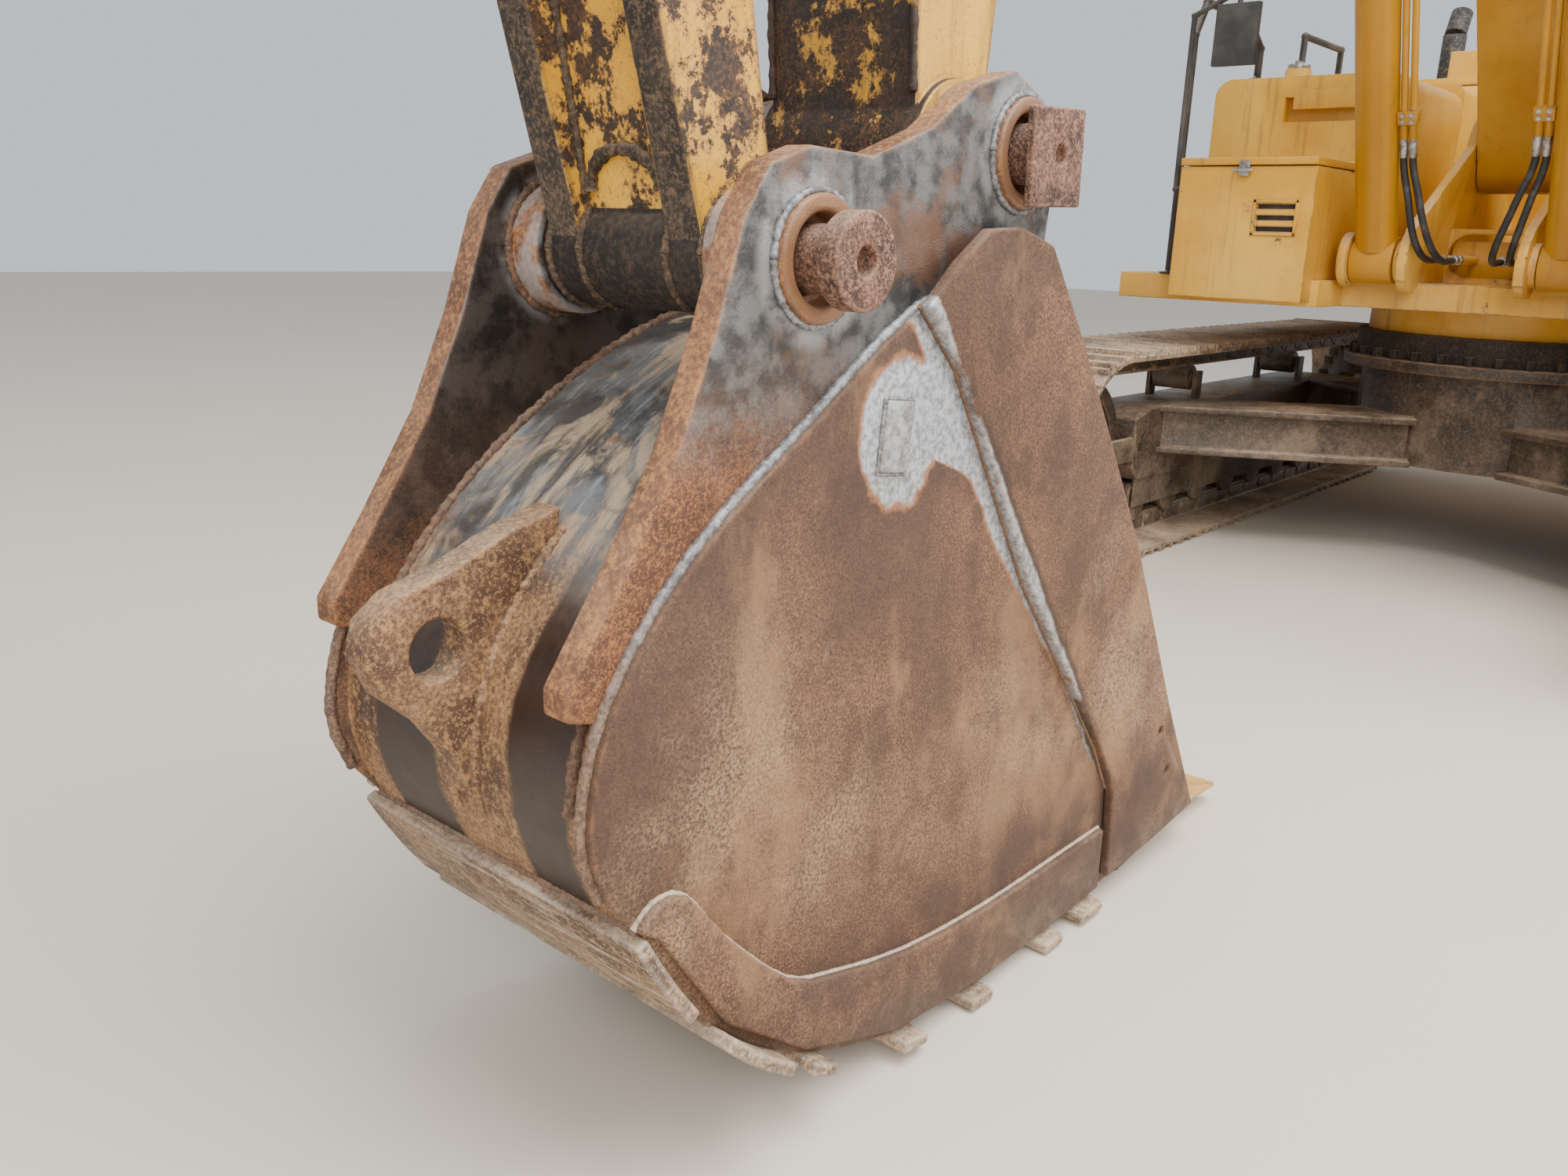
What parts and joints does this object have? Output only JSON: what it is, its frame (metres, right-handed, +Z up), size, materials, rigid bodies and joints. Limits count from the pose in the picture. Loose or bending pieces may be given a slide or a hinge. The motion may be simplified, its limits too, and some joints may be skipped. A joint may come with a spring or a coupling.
{
  "type": "crawler excavator",
  "caption": "Crawler excavator with steel tracks, a swinging upper structure with cab, a boom and stick on cylinders, and a narrow worn trenching bucket.",
  "frame": {"origin": "centre of the whole machine's box in plan, on the ground under the tracks", "axes": "+X forward, the way the tracks and the boom point, +Y the machine's left with the cab, +Z up"},
  "size_m": [8.882, 3.19, 5.1529],
  "materials": {
    "worn_yellow": "chipped and rusted machine paint",
    "frame_yellow": "dusty machine paint",
    "dark_paint": "satin black",
    "track_steel": "rusty with dried mud",
    "under_iron": "oily dark rust",
    "rusty_steel": "heavy rust, bare and pitted",
    "worn_steel": "scraped bare steel",
    "link_steel": "brown rust with paint remains",
    "rod_chrome": "polished",
    "hose_rubber": "black rubber",
    "cab_glass": "clear",
    "cab_trim": "moulded",
    "engine_iron": "dull",
    "pin_steel": "rusty steel"
  },
  "bodies": {
    "undercarriage": {"carbody": "under_iron", "track_frames": "under_iron", "track_left": "track_steel", "track_right": "track_steel", "rollers": "under_iron", "idlers": "under_iron", "sprockets": "under_iron", "bearing_ring": "under_iron"},
    "house": {"upper_frame": "frame_yellow", "counterweight": "frame_yellow", "engine_block": "engine_iron", "bay_walls": "frame_yellow", "tanks": "worn_yellow", "toolbox": "worn_yellow", "cab": "worn_yellow", "cab_glass": "cab_glass", "cab_seat": "cab_trim", "hand_rails": "dark_paint", "mirrors": "dark_paint", "centre_pipes": "frame_yellow", "hose_left_outer": "hose_rubber", "hose_left_inner": "hose_rubber", "hose_right_outer": "hose_rubber", "hose_right_inner": "hose_rubber"},
    "hood": {"engine_hood": "worn_yellow", "exhaust": "dark_paint"},
    "left_bay_door": {"door_left": "worn_yellow"},
    "right_bay_door": {"door_right": "worn_yellow"},
    "box_lid": {"toolbox_lid": "worn_yellow"},
    "cabin_door": {"cab_door": "worn_yellow"},
    "boom": {"boom": "worn_yellow", "boom_lines": "worn_yellow"},
    "boom_barrels": {"boom_barrels": "worn_yellow", "barrel_lines": "worn_yellow"},
    "boom_rods": {"boom_rods": "rod_chrome"},
    "stick_barrel": {"stick_barrel": "worn_yellow"},
    "stick_rod": {"stick_rod": "rod_chrome"},
    "stick": {"stick": "worn_yellow", "stick_lug": "worn_yellow"},
    "bucket_barrel": {"bucket_barrel": "worn_yellow"},
    "bucket_rod": {"bucket_rod": "rod_chrome"},
    "idler_links": {"idler_links": "link_steel"},
    "power_link": {"power_link": "link_steel"},
    "bucket": {"bucket_shell": "rusty_steel", "bucket_ears": "rusty_steel", "bucket_sides": "rusty_steel", "bucket_bars": "worn_steel", "bucket_teeth": "worn_yellow", "bucket_eye": "rusty_steel", "bucket_pins": "pin_steel"}
  },
  "joints": [
    {"name": "swing", "type": "hinge", "parent": "undercarriage", "child": "house", "pos_m": [-1.491, 0, 1], "axis": [0, 0, 1], "continuous": true},
    {"name": "boom_turn", "type": "hinge", "parent": "house", "child": "boom", "pos_m": [-1.341, 0, 1.78], "axis": [0, -1, 0], "range_deg": [-74, 35]},
    {"name": "stick_turn", "type": "hinge", "parent": "boom", "child": "stick", "pos_m": [3.786, 0, 4.398], "axis": [0, -1, 0], "range_deg": [-22, 96]},
    {"name": "bucket_turn", "type": "hinge", "parent": "stick", "child": "bucket", "pos_m": [3.429, 0, 1.49], "axis": [0, -1, 0], "range_deg": [-93, 70]},
    {"name": "boom_barrels_turn", "type": "hinge", "parent": "house", "child": "boom_barrels", "pos_m": [-0.521, 0, 1.33], "axis": [0, -1, 0], "range_deg": [-90, 43], "deforming": ["hose_left_outer", "hose_left_inner", "hose_right_outer", "hose_right_inner"]},
    {"name": "boom_rods_slide", "type": "slide", "parent": "boom_barrels", "child": "boom_rods", "axis": [0.4368, 0, 0.8995], "range_m": [-0.91, 0.43]},
    {"name": "stick_barrel_turn", "type": "hinge", "parent": "boom", "child": "stick_barrel", "pos_m": [1.009, 0, 4.765], "axis": [0, -1, 0], "range_deg": [-1, 3]},
    {"name": "stick_rod_slide", "type": "slide", "parent": "stick_barrel", "child": "stick_rod", "axis": [0.9967, 0, 0.0813], "range_m": [-1.19, 0.28]},
    {"name": "idlers_turn", "type": "hinge", "parent": "stick", "child": "idler_links", "pos_m": [3.439, 0, 2.01], "axis": [0, -1, 0], "range_deg": [-70, 53]},
    {"name": "power_link_turn", "type": "hinge", "parent": "bucket", "child": "power_link", "pos_m": [3.914, 0, 1.33], "axis": [0, -1, 0], "range_deg": [-53, 70]},
    {"name": "bucket_barrel_turn", "type": "hinge", "parent": "stick", "child": "bucket_barrel", "pos_m": [4.126, 0, 4.178], "axis": [0, -1, 0], "range_deg": [-3, 3]},
    {"name": "bucket_rod_slide", "type": "slide", "parent": "bucket_barrel", "child": "bucket_rod", "axis": [-0.0357, 0, -0.9994], "range_m": [-0.46, 0.61]},
    {"name": "hood_turn", "type": "hinge", "parent": "house", "child": "hood", "pos_m": [-2.639, 0, 2.2425], "axis": [0, 1, 0], "range_deg": [0, 60]},
    {"name": "left_bay_door_turn", "type": "hinge", "parent": "house", "child": "left_bay_door", "pos_m": [-2.705, 1.412, 1.8], "axis": [0, 0, -1], "range_deg": [0, 90]},
    {"name": "right_bay_door_turn", "type": "hinge", "parent": "house", "child": "right_bay_door", "pos_m": [-2.705, -1.412, 1.8], "axis": [0, 0, 1], "range_deg": [0, 90]},
    {"name": "box_lid_turn", "type": "hinge", "parent": "house", "child": "box_lid", "pos_m": [-0.975, -0.82, 1.739], "axis": [0, -1, 0], "range_deg": [0, 80]},
    {"name": "cabin_door_turn", "type": "hinge", "parent": "house", "child": "cabin_door", "pos_m": [-1.287, 1.442, 1.9], "axis": [0, 0, 1], "range_deg": [0, 150]}
  ],
  "couplings": [
    {"joint": "boom_barrels_turn", "follows": "boom_turn", "ratio": 1.2},
    {"joint": "boom_rods_slide", "follows": "boom_turn", "m_per_rad": 0.7},
    {"joint": "stick_barrel_turn", "follows": "stick_turn", "ratio": 0.02},
    {"joint": "stick_rod_slide", "follows": "stick_turn", "m_per_rad": -0.705},
    {"joint": "idlers_turn", "follows": "bucket_turn", "ratio": 0.73},
    {"joint": "power_link_turn", "follows": "bucket_turn", "ratio": -0.743},
    {"joint": "bucket_barrel_turn", "follows": "bucket_turn", "ratio": 0.0155},
    {"joint": "bucket_rod_slide", "follows": "bucket_turn", "m_per_rad": -0.372}
  ]
}
